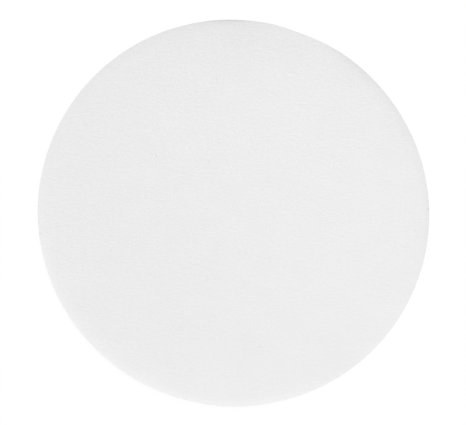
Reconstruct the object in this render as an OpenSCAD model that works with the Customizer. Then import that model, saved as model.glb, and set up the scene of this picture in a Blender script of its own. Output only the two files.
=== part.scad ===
// Laboratory filter paper disc: one sheet of paper, die-cut to a circle.
// The middle lies flat. Towards its edge the sheet bows up gently, and the narrow
// band at the edge, which the die turned up as it cut, rises more steeply.
// The origin is at the centre of the underside, and +Z is up. The paper's fibres
// run mostly along X. All sizes are in millimetres.

/* [Sheet] */
// Diameter over the cut edge
disc_d = 90; // [50:0.5:240]
// Thickness of the paper
paper_t = 0.2; // [0.15:0.01:0.5]

/* [Rim] */
// Width of the ring in which the sheet bows up, measured in from the edge
bow_w = 20; // [8:0.5:24]
// How far the bow lifts the edge
bow_rise = 0.36; // [0.05:0.01:1]
// Width of the narrow band that the die turned up, measured in from the edge
turn_w = 3.4; // [2:0.1:6]
// How much further this band lifts the edge
turn_rise = 0.12; // [0.01:0.01:0.3]
// Radius that the die left on the upper corner of the cut edge
corner_r = 0.03; // [0.02:0.01:0.12]

/* [Hidden] */
$fn = 180;

disc_r = disc_d / 2;
edge_slope = atan(3 * bow_rise / bow_w + 3 * turn_rise / turn_w);

// Straight steps that draw the curve of each band, and the corner's arc
band_steps = 8;
corner_steps = 4;

// Radii from the bow's start to the cut edge at which the section has a point
stations = concat(
    [for (i = [0:band_steps - 1]) disc_r - bow_w + (bow_w - turn_w) * i / band_steps],
    [for (i = [0:band_steps]) disc_r - turn_w + turn_w * i / band_steps]
);

// Height that a band of this width and rise gives the sheet at radius x.
// It grows with the cube of the way across the band, so the band starts level and
// steepens towards the edge.
function band_lift(x, width, rise) = rise * pow(max(0, x - disc_r + width) / width, 3);

// Height of the underside at radius x
function under_z(x) = band_lift(x, bow_w, bow_rise) + band_lift(x, turn_w, turn_rise);

// Half of the section through the middle of the disc
module half_section() {
    // The corner's arc starts where it is tangent to the upper face.
    corner_x = disc_r - corner_r;
    arc_start_x = corner_x - corner_r * sin(edge_slope);
    corner_z = under_z(arc_start_x) + paper_t - corner_r * cos(edge_slope);

    underside = [for (x = stations) [x, under_z(x)]];
    corner = [
        for (i = [corner_steps:-1:0])
            let (turn = -edge_slope + (90 + edge_slope) * i / corner_steps)
                [corner_x + corner_r * sin(turn), corner_z + corner_r * cos(turn)]
    ];
    upper_face = [
        for (i = [len(stations) - 1:-1:0])
            if (stations[i] < arc_start_x) [stations[i], under_z(stations[i]) + paper_t]
    ];
    polygon(concat([[0, 0]], underside, corner, upper_face, [[0, paper_t]]));
}

module filter_disc() {
    color([0.93, 0.93, 0.93])
        rotate_extrude()
            half_section();
}

filter_disc();
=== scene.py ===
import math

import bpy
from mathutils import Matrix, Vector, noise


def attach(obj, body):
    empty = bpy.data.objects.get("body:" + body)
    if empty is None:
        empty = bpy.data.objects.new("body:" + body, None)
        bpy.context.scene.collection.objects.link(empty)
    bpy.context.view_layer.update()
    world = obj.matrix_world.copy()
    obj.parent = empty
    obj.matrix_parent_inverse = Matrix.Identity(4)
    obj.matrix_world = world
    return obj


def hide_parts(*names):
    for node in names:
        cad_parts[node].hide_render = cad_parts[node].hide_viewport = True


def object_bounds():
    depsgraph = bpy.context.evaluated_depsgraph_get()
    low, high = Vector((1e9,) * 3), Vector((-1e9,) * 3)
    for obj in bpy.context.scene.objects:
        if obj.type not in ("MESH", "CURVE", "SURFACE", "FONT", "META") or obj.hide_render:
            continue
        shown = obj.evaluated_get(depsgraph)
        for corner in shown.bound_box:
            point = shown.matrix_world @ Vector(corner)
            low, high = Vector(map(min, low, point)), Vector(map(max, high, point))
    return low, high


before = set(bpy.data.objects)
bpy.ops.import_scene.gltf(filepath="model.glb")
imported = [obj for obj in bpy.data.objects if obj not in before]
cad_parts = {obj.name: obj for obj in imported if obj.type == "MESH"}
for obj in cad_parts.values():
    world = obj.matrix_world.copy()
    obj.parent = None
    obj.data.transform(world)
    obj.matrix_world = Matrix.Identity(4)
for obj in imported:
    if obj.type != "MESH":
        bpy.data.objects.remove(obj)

# A laboratory filter paper disc, lying on a white bench and seen from almost straight above.
# Lengths are in metres unless a name or comment says otherwise. Angles of places round the rim are
# in degrees, counter-clockwise from +X.

cad_low, cad_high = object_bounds()

MM = 0.001
MICRON = 0.000001

# The sheet's section. Its radius, thickness and the widths of its two bands are the solid's. The bands
# rise less here, because the solid stands as high all round as this sheet does at its highest place,
# and the corner is sharper.
DISC_R = cad_high.x
PAPER_T = 0.2 * MM
BOW_W = 20 * MM
BOW_RISE = 0.24 * MM
TURN_W = 3.4 * MM
TURN_RISE = 0.07 * MM
CORNER_R = 0.01 * MM

# Where each band rises more or less than that: (angle, half-width in degrees, share)
BOW_SWELLS = [(97, 20, 0.44), (245, 50, -0.15), (18, 12, -0.4), (303, 9, -0.3)]
TURN_SWELLS = [(92, 8, 0.2), (117, 16, -0.35), (71, 12, -0.9), (50, 8, 0.6), (12, 22, 0.3),
               (0, 8, 0.3), (180, 16, 0.2), (200, 5, 0.5), (225, 14, -0.3), (302, 16, -0.2)]
# Narrow lip at the very edge, which the die drew up most sharply at the top
LIP_W = 0.95 * MM
LIP_RISE = 0.14 * MM
LIP_PLACES = [(91, 6, 0.82), (56, 4.5, 0.25), (225, 32, 0.08), (2, 8, 0.2)]

# How far the cut edge keeps inside the solid's, as room for its roughness
EDGE_INSET = 0.09 * MM
# Where it runs in or out from there, in mm: most at the dent, where it is flat
EDGE_PLACES = [(69.5, 7.5, -0.26), (40, 30, -0.13), (87, 8, -0.075), (103, 9, -0.035),
               (148, 24, -0.09), (212, 8, 0.05), (240, 8, 0.04), (269, 6, 0.08), (286, 8, -0.085)]

# Roughness of the cut edge, long and short, and of the cut face: how deep, and how long its features are
WANDER_DEPTH = 0.02 * MM
WANDER_SIZE = 30 * MM
FRAY_DEPTH = 0.008 * MM
FRAY_SIZE = 0.5 * MM
CUT_FACE_DEPTH = 9 * MICRON
CUT_FACE_SIZE = 0.25 * MM
# Waves that moisture leaves in the sheet
COCKLE_DEPTH = 7 * MICRON
COCKLE_SIZE = 17 * MM
# Clumps of fibre in its faces, and how many times longer they are along X
CLUMP_DEPTH = 1.5 * MICRON
CLUMP_SIZE = 1.1 * MM
CLUMP_STRETCH = 2.2

# The mesh: cells across the disc, and rows down the rounded corner and the cut face
CELLS = 184
CORNER_ROWS = 3
CUT_ROWS = 4
# How much closer the rings of cells lie towards the rim, and how late that sets in
CROWDING = 0.12
CROWDING_POWER = 6
# Narrow ring left round the upper face, so that the corner's shading doesn't spread over it
COLLAR_W = 0.03 * MM
# Edges that bend by more than this are drawn sharp
SHARP_ANGLE = math.radians(40)

# Specks of dark fibre in the paper, with painted shade, shadow and highlight: place in mm, radius in mm,
# and how much they darken it.
# The first two are a dark fleck and painted shade on the knot's side away from the lamp. The fourth is a
# painted highlight on the knot's lit side, beside the first three, and the fifth a faint smudge. The
# last six are painted shadow along the cut edge.
SPECKS_AND_PAINTED_LIGHT_AND_SHADE = [
    # Dark fleck and painted shade on the knot's side away from the lamp
    (-17.3, 14.17, 0.18, 0.13),
    (-17.4, 13.82, 0.15, 0.08),
    (-16.5, 14.6, 0.13, 0.11),
    # Painted highlight on the knot's lit side
    (-16.87, 14.25, 0.26, -0.03),
    (-14.7, 0.2, 0.40, 0.025),
    (-5.2, 12.8, 0.13, 0.19),
    (-3.5, 31.45, 0.13, 0.19),
    (9.6, 21.8, 0.14, 0.10),
    (-8.05, 28.62, 0.17, 0.09),
    (23.4, 2.9, 0.14, 0.11),
    (8.75, -9.32, 0.18, 0.08),
    # Painted shadow: dark dots along the cut edge at the right and left of the rim
    (44.6, 2.35, 0.26, 0.11),
    (44.5, 4.05, 0.26, 0.09),
    (-44.7, 3.2, 0.25, 0.04),
    (-44.7, 2.4, 0.25, 0.04),
    (-44.8, -1.55, 0.24, 0.10),
    (-44.4, -4.25, 0.33, 0.08),
]
# The first four lie on or beside a knot in the felt: its place, radius and height, all in mm
KNOT = (-17.0, 14.2, 0.55, 0.015)
# Broad faint patches: place and radius in mm, and how much they darken the paper. The first is painted
# shade at the top of the rim, where the sheet bows up away from the lamp; the second darkens the paper
# near the lower right.
PAINTED_SHADE_AND_DARK_PATCHES = [(1.5, 41.0, 13.0, 0.017), (22.0, -37.0, 10.0, 0.014)]

PAPER_WHITE = 0.85
PAPER_ROUGHNESS = 0.9
PAPER_SPECULAR = 0.2
# Layers of the felt: how long their features are along X, Y and Z, in mm. Flocs are the loose clumps
# that fibres gather into.
FIBRE_SIZE = (0.44, 0.22, 0.22)
FLOC_SIZE = (1.2, 0.60, 0.60)
SINGLE_FIBRE_SIZE = (1.25, 0.20, 0.20)
CLOUD_SIZE = (9.0, 6.0, 6.0)
# How strongly each layer shows in the paper's tone
FIBRE_TONE = 0.166
DARK_FIBRE_TONE = 0.19
LIGHT_FIBRE_TONE = 0.14
CLOUD_TONE = 0.036
# Levels of the noise, from 0 to 1: the fibres' mean, the clouds' mean, and the levels beyond which a
# single fibre stands out as dark or light
FIBRE_MEAN = 0.505
CLOUD_MEAN = 0.5
DARK_BELOW = 0.34
LIGHT_ABOVE = 0.66
# Fine relief of the felt: how deep the fibres make it, and how deep the flocs do, as a share of that
FELT_RELIEF = 17 * MICRON
FLOC_RELIEF = 1.05
# Faint straight ribs, as the mesh that pulp is drained on leaves them: the direction across them,
# their spacing in mm, and how much they lighten and darken the paper
RIB_DIRECTION = math.radians(76)
RIB_SPACING = 1.34
RIB_TONE = 0.0014
# How much more marked the felt is at the +Y and +X ends than in the middle
MORE_TOWARDS_Y = 0.23
MORE_TOWARDS_X = -0.10
# How marked it is at the rim, and between which shares of the radius it fades to that
MARKED_AT_RIM = 0.90
FADE_START = 0.76
FADE_END = 0.90

# The floor is a square just under the sheet. The camera sees a glow that looks white, with a veil
# over it that takes the shadow. The light sees its grey body.
FLOOR_HALF_W = 1.5
FLOOR_DEPTH = 10 * MICRON
FLOOR_GLOW = 0.955
FLOOR_VEIL = 0.055
FLOOR_BODY = 0.75
# Share of full brightness that the even light from all round gives
DOME_SHARE = 0.269

# The camera, its lean off the sheet's normal and the side it leans to, the share of the frame that
# the disc fills, and how far the aim is off the disc's middle
CAMERA_LENS_MM = 100
SENSOR_MM = 36
CAMERA_LEAN = math.radians(9.6)
CAMERA_SIDE = math.radians(70.5)
DISC_SHARE = 0.8442
AIM_OFFSET = (-0.13 * MM, 0.085 * MM)


def degrees_apart(a, b):
    return abs((a - b + 180) % 360 - 180)


def swell(angle, places):
    """Sum of the smooth humps at these places round the rim."""
    return sum(share * math.exp(-(degrees_apart(angle, at) / width) ** 2) for at, width, share in places)


def octaves(x, y, size, seed, count=3):
    """Fractal noise from about -1 to 1, with its largest features about this size."""
    # Each octave is cut from the noise this far above the last, so that they don't repeat each other.
    apart = 7.3
    total, gain = 0.0, 1.0
    for k in range(count):
        total += gain * noise.noise(Vector((x / size, y / size, seed + apart * k)))
        size, gain = size / 2, gain / 2
    return total


def lift(radius, angle):
    """Height of the underside where the rim bows and turns up."""
    bow = max(0, radius - DISC_R + BOW_W) / BOW_W
    turn = max(0, radius - DISC_R + TURN_W) / TURN_W
    lip = max(0, radius - DISC_R + LIP_W) / LIP_W
    return (BOW_RISE * bow**3 * (1 + swell(angle, BOW_SWELLS))
            + TURN_RISE * turn**3 * (1 + swell(angle, TURN_SWELLS))
            + LIP_RISE * lip**3 * swell(angle, LIP_PLACES))


def cockle(x, y):
    """Broad, very shallow waves that moisture leaves in a sheet."""
    return COCKLE_DEPTH * octaves(x, y, COCKLE_SIZE, seed=3.0, count=2)


def clumps(x, y, seed):
    """Shallow relief of the clumps of fibre, which are longer along X."""
    return CLUMP_DEPTH * octaves(x / CLUMP_STRETCH, y, CLUMP_SIZE, seed, count=1)


def edge_radius(angle):
    """Radius of the cut edge, which is a little rough and out of round."""
    a = math.radians(angle)
    x, y = DISC_R * math.cos(a), DISC_R * math.sin(a)
    wander = WANDER_DEPTH * octaves(x, y, WANDER_SIZE, seed=11.0, count=2)
    fray = FRAY_DEPTH * octaves(x, y, FRAY_SIZE, seed=12.0)
    return DISC_R - EDGE_INSET + wander + fray + swell(angle, EDGE_PLACES) * MM


def square_to_disc(u, v):
    """Maps a point of the square from -1 to 1 to the share of the radius and an angle in degrees."""
    if u == 0 and v == 0:
        return 0.0, 0.0
    if abs(u) >= abs(v):
        return abs(u), (45 * v / u + (0 if u > 0 else 180)) % 360
    return abs(v), (90 - 45 * u / v + (0 if v > 0 else 180)) % 360


def closer_at_rim(share):
    """Draws the rings of the mesh together towards the rim, where the sheet bends most."""
    return (1 + CROWDING) * share - CROWDING * share**CROWDING_POWER


def under_z(x, y, radius, angle):
    """Height of the underside, which lies on the floor wherever nothing lifts it."""
    return lift(radius, angle) + max(0, cockle(x, y)) + max(0, clumps(x, y, seed=21.0))


def upper_z(x, y, radius, angle):
    """Height of the upper face, whose clumps keep below the paper's full thickness."""
    return lift(radius, angle) + max(0, cockle(x, y)) + PAPER_T + clumps(x, y, seed=31.0) - CLUMP_DEPTH


def upper_radius(angle):
    """Radius at which the upper face ends and the collar and rounded corner start."""
    return edge_radius(angle) - CORNER_R - COLLAR_W


def face_points(radius_of, height_of):
    """One face of the sheet as a grid of points."""
    points = []
    for i in range(CELLS + 1):
        for j in range(CELLS + 1):
            share, angle = square_to_disc(2 * i / CELLS - 1, 2 * j / CELLS - 1)
            radius = radius_of(angle) * closer_at_rim(share)
            x, y = radius * math.cos(math.radians(angle)), radius * math.sin(math.radians(angle))
            points.append((x, y, height_of(x, y, radius, angle)))
    return points


def rim_loop():
    """Indices of the grid's border, counter-clockwise from the corner at -1, -1."""
    row = CELLS + 1
    return ([i * row for i in range(CELLS)]
            + [CELLS * row + j for j in range(CELLS)]
            + [i * row + CELLS for i in range(CELLS, 0, -1)]
            + [j for j in range(CELLS, 0, -1)])


def grid_faces(start, upwards):
    """Squares of the grid of points that begins at this index."""
    row = CELLS + 1
    faces = []
    for i in range(CELLS):
        for j in range(CELLS):
            a = start + i * row + j
            quad = (a, a + row, a + row + 1, a + 1)
            faces.append(quad if upwards else quad[::-1])
    return faces


def rim_point(row, low, top):
    """Point of this row, on the way over the rounded corner and down the cut face."""
    outwards = Vector((low.x, low.y, 0)).normalized()
    radius, angle = math.hypot(low.x, low.y), math.degrees(math.atan2(low.y, low.x))
    top.z += lift(radius, angle) - lift(radius - COLLAR_W, angle)
    if row <= CORNER_ROWS:
        turn = math.radians(90) * row / CORNER_ROWS
        point = top + outwards * (COLLAR_W + CORNER_R * math.sin(turn))
        point.z -= CORNER_R * (1 - math.cos(turn))
        return tuple(point)
    share = (row - CORNER_ROWS) / CUT_ROWS
    point = Vector((low.x, low.y, (top.z - CORNER_R) * (1 - share) + low.z * share))
    # The noise is from -1 to 1, so the cut face is rough mostly inwards.
    rough = noise.noise(point / CUT_FACE_SIZE) - 0.5
    point += outwards * CUT_FACE_DEPTH * rough
    return tuple(point)


def strip_faces(above, below):
    """Squares between two closed rows of points."""
    count = len(above)
    return [(above[k], below[k], below[(k + 1) % count], above[(k + 1) % count]) for k in range(count)]


def make_sheet():
    """The sheet of paper: two faces, joined over the rounded corner and down the cut face."""
    lower_face = face_points(edge_radius, under_z)
    upper_face = face_points(upper_radius, upper_z)
    points = lower_face + upper_face
    faces = grid_faces(0, upwards=False) + grid_faces(len(lower_face), upwards=True)

    border = rim_loop()
    rows = [[len(lower_face) + k for k in border]]
    for row in range(CORNER_ROWS + CUT_ROWS):
        rows.append([len(points) + k for k in range(len(border))])
        points += [rim_point(row, Vector(lower_face[k]), Vector(upper_face[k])) for k in border]
    rows.append(border)
    for above, below in zip(rows, rows[1:]):
        faces += strip_faces(above, below)

    mesh = bpy.data.meshes.new("filter_sheet")
    mesh.from_pydata(points, [], faces)
    mesh.validate()
    mesh.shade_smooth()
    mesh.set_sharp_from_angle(angle=SHARP_ANGLE)
    sheet = bpy.data.objects.new("filter_sheet", mesh)
    bpy.context.collection.objects.link(sheet)
    return sheet


class Nodes:
    """Short ways to add and join shader nodes."""

    def __init__(self, tree):
        self.tree = tree
        tree.nodes.clear()

    def add(self, kind, settings=None, **inputs):
        """New node of this kind. An input's name has _ for each space."""
        node = self.tree.nodes.new("ShaderNode" + kind)
        for name, value in (settings or {}).items():
            setattr(node, name, value)
        for name, value in inputs.items():
            self.put(node.inputs[name.replace("_", " ")], value)
        return node

    def put(self, socket, value):
        """Joins another node's output to this socket, or sets it to a constant."""
        if isinstance(value, bpy.types.NodeSocket):
            self.tree.links.new(value, socket)
        else:
            socket.default_value = value

    def maths(self, operation, *values):
        """Result of this operation on these values."""
        node = self.tree.nodes.new("ShaderNodeMath")
        node.operation = operation
        for socket, value in zip(node.inputs, values):
            self.put(socket, value)
        return node.outputs[0]

    def vector_maths(self, operation, vector, by):
        """Node for this operation on a vector and a constant one."""
        node = self.add("VectorMath", {"operation": operation}, Vector=vector)
        node.inputs[1].default_value = by
        return node

    def reach(self, where, x, y):
        """Distance from a point of the sheet to this place."""
        return self.vector_maths("DISTANCE", where, (x, y, 0)).outputs["Value"]

    def fade(self, value, start, end):
        """1 up to start, and easing to 0 at end."""
        ends = {"From_Min": start, "From_Max": end, "To_Min": 1.0, "To_Max": 0.0}
        return self.add("MapRange", {"interpolation_type": "SMOOTHSTEP"}, Value=value, **ends).outputs[0]

    def noise(self, where, size, **inputs):
        """Noise from 0 to 1 whose features have this size along X, Y and Z."""
        scale = tuple(1 / s for s in size)
        mapping = self.add("Mapping", Vector=where, Scale=scale)
        return self.add("TexNoise", Vector=mapping.outputs[0], Scale=1.0, **inputs).outputs[0]


def how_marked(n, in_mm, across):
    """How marked the felt is at each place, as a share of what it is in the middle."""
    edge = DISC_R / MM
    axes = n.add("SeparateXYZ", Vector=in_mm).outputs
    marked = n.maths("MULTIPLY_ADD", axes["Y"], MORE_TOWARDS_Y / edge, 1.0)
    marked = n.maths("MULTIPLY_ADD", axes["X"], MORE_TOWARDS_X / edge, marked)
    inwards = n.fade(n.reach(across, 0, 0), FADE_START * edge, FADE_END * edge)
    eased = n.maths("MULTIPLY_ADD", inwards, 1 - MARKED_AT_RIM, MARKED_AT_RIM)
    return n.maths("MULTIPLY", marked, eased)


def felt_grain(n, in_mm, fibres):
    """Lighter and darker tones of the felt: its mass of fibres, and single ones that stand out."""
    single = n.noise(in_mm, SINGLE_FIBRE_SIZE, Detail=0.0, Distortion=0.5)
    dark_fibres = n.maths("MAXIMUM", n.maths("SUBTRACT", DARK_BELOW, single), 0.0)
    light_fibres = n.maths("MAXIMUM", n.maths("SUBTRACT", single, LIGHT_ABOVE), 0.0)
    grain = n.maths("MULTIPLY", n.maths("SUBTRACT", fibres, FIBRE_MEAN), FIBRE_TONE)
    grain = n.maths("MULTIPLY_ADD", dark_fibres, -DARK_FIBRE_TONE, grain)
    return n.maths("MULTIPLY_ADD", light_fibres, LIGHT_FIBRE_TONE, grain)


def ribs(n, across):
    """Faint ribs, as waves straight across the sheet."""
    turn = 2 * math.pi / RIB_SPACING
    step = (turn * math.cos(RIB_DIRECTION), turn * math.sin(RIB_DIRECTION), 0)
    along = n.vector_maths("DOT_PRODUCT", across, step).outputs["Value"]
    return n.maths("MULTIPLY", n.maths("COSINE", along), RIB_TONE)


def with_patches_specks_and_painted_light(n, shade, across):
    """This shade of the paper, darkened at its patches and specks, with painted shade and shadow at the
    top rim, the knot and the cut edge, and a painted highlight beside the knot.
    """
    for x, y, radius, depth in PAINTED_SHADE_AND_DARK_PATCHES:
        patch = n.fade(n.reach(across, x, y), 0.0, radius)
        shade = n.maths("MULTIPLY_ADD", patch, -depth, shade)
    for x, y, radius, depth in SPECKS_AND_PAINTED_LIGHT_AND_SHADE:
        inside = n.maths("LESS_THAN", n.reach(across, x, y), radius)
        shade = n.maths("MULTIPLY_ADD", n.maths("MULTIPLY", inside, -depth), shade, shade)
    return shade


def felt_bump(n, across, fibres, flocs, marked):
    """Fine relief of the felt, with the knot standing up from it."""
    x, y, radius, rise = KNOT
    knot = n.fade(n.reach(across, x, y), 0.0, radius)
    height = n.maths("MULTIPLY", n.maths("MULTIPLY_ADD", flocs, FLOC_RELIEF, fibres), marked)
    height = n.maths("MULTIPLY_ADD", knot, rise * MM / FELT_RELIEF, height)
    return n.add("Bump", Height=height, Strength=1.0, Distance=FELT_RELIEF).outputs[0]


def paper_material():
    """White felted fibres: a fine dashed grain along X, soft clouds, faint ribs and a few specks, with
    painted shade, shadow and highlight at the top rim, the knot and the cut edge.
    """
    material = bpy.data.materials.new("filter_paper")
    material.use_nodes = True
    n = Nodes(material.node_tree)
    place = n.add("TexCoord").outputs["Object"]
    in_mm = n.add("VectorMath", {"operation": "SCALE"}, Vector=place, Scale=1 / MM).outputs[0]
    across = n.vector_maths("MULTIPLY", in_mm, (1, 1, 0)).outputs[0]

    fibres = n.noise(in_mm, FIBRE_SIZE, Detail=2.0, Roughness=0.65, Distortion=0.3)
    flocs = n.noise(across, FLOC_SIZE, Detail=1.0, Roughness=0.5, Distortion=0.3)
    clouds = n.noise(in_mm, CLOUD_SIZE, Detail=2.0, Roughness=0.5)
    marked = how_marked(n, in_mm, across)

    shade = n.maths("MULTIPLY_ADD", felt_grain(n, in_mm, fibres), marked, 1.0)
    shade = n.maths("MULTIPLY_ADD", n.maths("SUBTRACT", clouds, CLOUD_MEAN), CLOUD_TONE, shade)
    shade = n.maths("ADD", shade, ribs(n, across))
    shade = with_patches_specks_and_painted_light(n, shade, across)
    colour = n.add("VectorMath", {"operation": "SCALE"}, Scale=shade)
    colour.inputs[0].default_value = (PAPER_WHITE, PAPER_WHITE, PAPER_WHITE)

    bump = felt_bump(n, across, fibres, flocs, marked)
    surface = n.add("BsdfPrincipled", Roughness=PAPER_ROUGHNESS, Normal=bump)
    n.put(surface.inputs["Base Color"], colour.outputs[0])
    n.put(surface.inputs["Specular IOR Level"], PAPER_SPECULAR)
    output = n.add("OutputMaterial")
    n.put(output.inputs["Surface"], surface.outputs[0])
    return material


def seen_directly(n):
    """1 for what the camera, gloss or glass shows, and 0 for the light that falls on things."""
    path = n.add("LightPath")
    rays = n.maths("MAXIMUM", path.outputs["Is Camera Ray"], path.outputs["Is Glossy Ray"])
    return n.maths("MAXIMUM", rays, path.outputs["Is Transmission Ray"])


def grey(level):
    return (level, level, level, 1)


def floor_material():
    """A pale bench top that looks white, but for the sheet's own shadow."""
    material = bpy.data.materials.new("bench_top")
    material.use_nodes = True
    n = Nodes(material.node_tree)
    glow = n.add("Emission", Strength=FLOOR_GLOW)
    veil = n.add("BsdfDiffuse", Color=grey(FLOOR_VEIL))
    shown = n.add("AddShader")
    n.put(shown.inputs[0], glow.outputs[0])
    n.put(shown.inputs[1], veil.outputs[0])
    body = n.add("BsdfDiffuse", Color=grey(FLOOR_BODY))
    either = n.add("MixShader", Fac=seen_directly(n))
    n.put(either.inputs[1], body.outputs[0])
    n.put(either.inputs[2], shown.outputs[0])
    output = n.add("OutputMaterial")
    n.put(output.inputs["Surface"], either.outputs[0])
    return material


def make_floor():
    half = FLOOR_HALF_W
    mesh = bpy.data.meshes.new("bench_top")
    corners = [(-half, -half), (half, -half), (half, half), (-half, half)]
    mesh.from_pydata([(x, y, -FLOOR_DEPTH) for x, y in corners], [], [(0, 1, 2, 3)])
    floor = bpy.data.objects.new("bench_top", mesh)
    floor.data.materials.append(floor_material())
    bpy.context.collection.objects.link(floor)


def direction(azimuth, elevation):
    """Unit vector that points this way, with the angles in degrees."""
    a, e = math.radians(azimuth), math.radians(elevation)
    return Vector((math.cos(e) * math.cos(a), math.cos(e) * math.sin(a), math.sin(e)))


def add_lamp(name, azimuth, elevation, distance, size, share):
    """A square soft lamp that gives a level white surface this share of full brightness."""
    data = bpy.data.lights.new(name, "AREA")
    data.size = size
    sine = math.sin(math.radians(elevation))
    # A lamp of power P shines P / (pi * distance^2) straight ahead, and a white surface sends
    # back 1 / pi of what falls on it.
    data.energy = share * math.pi**2 * distance**2 / sine
    lamp = bpy.data.objects.new(name, data)
    lamp.location = direction(azimuth, elevation) * distance
    lamp.rotation_mode = "QUATERNION"
    lamp.rotation_quaternion = (-lamp.location).to_track_quat("-Z", "Y")
    bpy.context.collection.objects.link(lamp)


def light_the_scene():
    """A low lamp, a small one overhead, and even light from all round."""
    add_lamp("key", azimuth=67, elevation=28, distance=5.0, size=1.6, share=0.497)
    add_lamp("overhead", azimuth=-15, elevation=77, distance=0.37, size=0.16, share=0.26)
    world = bpy.data.worlds.new("studio")
    world.use_nodes = True
    bpy.context.scene.world = world
    n = Nodes(world.node_tree)
    strength = n.maths("MULTIPLY_ADD", seen_directly(n), 1.0 - DOME_SHARE, DOME_SHARE)
    background = n.add("Background", Color=grey(1), Strength=strength)
    output = n.add("OutputWorld")
    n.put(output.inputs["Surface"], background.outputs[0])


def add_camera():
    data = bpy.data.cameras.new("camera")
    data.lens = CAMERA_LENS_MM
    data.sensor_width = SENSOR_MM
    seen_width = 2 * DISC_R / DISC_SHARE
    distance = seen_width * CAMERA_LENS_MM / SENSOR_MM
    side = Vector((math.cos(CAMERA_SIDE), math.sin(CAMERA_SIDE), 0))
    back = side * math.sin(CAMERA_LEAN) + Vector((0, 0, 1)) * math.cos(CAMERA_LEAN)
    # Perspective makes the disc's near half look larger, and this brings its outline back to
    # the middle of the frame.
    aim = Vector(((cad_low.x + cad_high.x) / 2, (cad_low.y + cad_high.y) / 2, cad_high.z))
    aim += side * DISC_R**2 * math.sin(CAMERA_LEAN) / distance + Vector((*AIM_OFFSET, 0))
    right = Vector((0, 1, 0)).cross(back).normalized()
    up = back.cross(right)
    turn = Matrix((right, up, back)).transposed()
    camera = bpy.data.objects.new("camera", data)
    camera.matrix_world = Matrix.Translation(aim + back * distance) @ turn.to_4x4()
    bpy.context.collection.objects.link(camera)
    bpy.context.scene.camera = camera


add_camera()
light_the_scene()
make_floor()

sheet = make_sheet()
sheet.data.materials.append(paper_material())
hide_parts("filter_disc")
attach(sheet, "root")

bpy.context.scene.view_settings.view_transform = "Standard"
